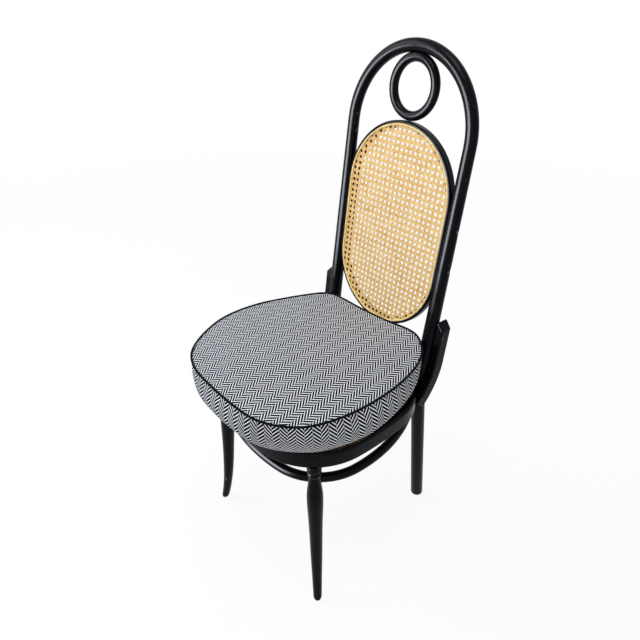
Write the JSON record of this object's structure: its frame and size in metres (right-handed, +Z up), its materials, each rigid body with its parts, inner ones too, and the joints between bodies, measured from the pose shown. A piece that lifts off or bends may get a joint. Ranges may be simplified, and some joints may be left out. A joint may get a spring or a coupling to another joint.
{
  "type": "chair",
  "caption": "Tall-backed black bentwood bistro chair with an arched back, small ring, cane oval, round leg hoop and a loose herringbone box cushion.",
  "frame": {"origin": "on the floor, midway between the left and right legs, under the middle of the overall depth", "axes": "+Z up, -Y the way the sitter faces, +X the sitter's left"},
  "size_m": [0.4918, 0.5504, 1.155],
  "materials": {
    "black_lacquer": "satin black lacquer on beech",
    "golden_cane": "varnished honey-coloured cane",
    "dark_steel": "blackened steel, satin",
    "herringbone_cloth": "black and white herringbone weave",
    "cushion_foam": "upholstery foam, matte",
    "black_cord": "black covered cord"
  },
  "bodies": {
    "chair_frame": {"back_bow": "black_lacquer", "seat_ring": "black_lacquer", "front_leg_left": "black_lacquer", "front_leg_right": "black_lacquer", "leg_hoop": "black_lacquer", "brace_left": "black_lacquer", "brace_right": "black_lacquer", "back_frame": "black_lacquer", "top_ring": "black_lacquer", "seat_cane": "golden_cane", "back_cane": "golden_cane", "seat_spline": "golden_cane", "back_spline": "golden_cane", "hoop_screws": "dark_steel", "frame_screws": "dark_steel", "ring_screws": "dark_steel", "brace_screws": "dark_steel", "frame_bolts": "dark_steel", "frame_washers": "dark_steel", "frame_nuts": "dark_steel"},
    "cushion": {"cushion_cover": "herringbone_cloth", "cushion_foam": "cushion_foam", "cushion_cord": "black_cord"}
  },
  "joints": [
    {"name": "cushion_lift", "type": "slide", "parent": "chair_frame", "child": "cushion", "axis": [0, 0, 1], "range_m": [0, 0.15]}
  ]
}
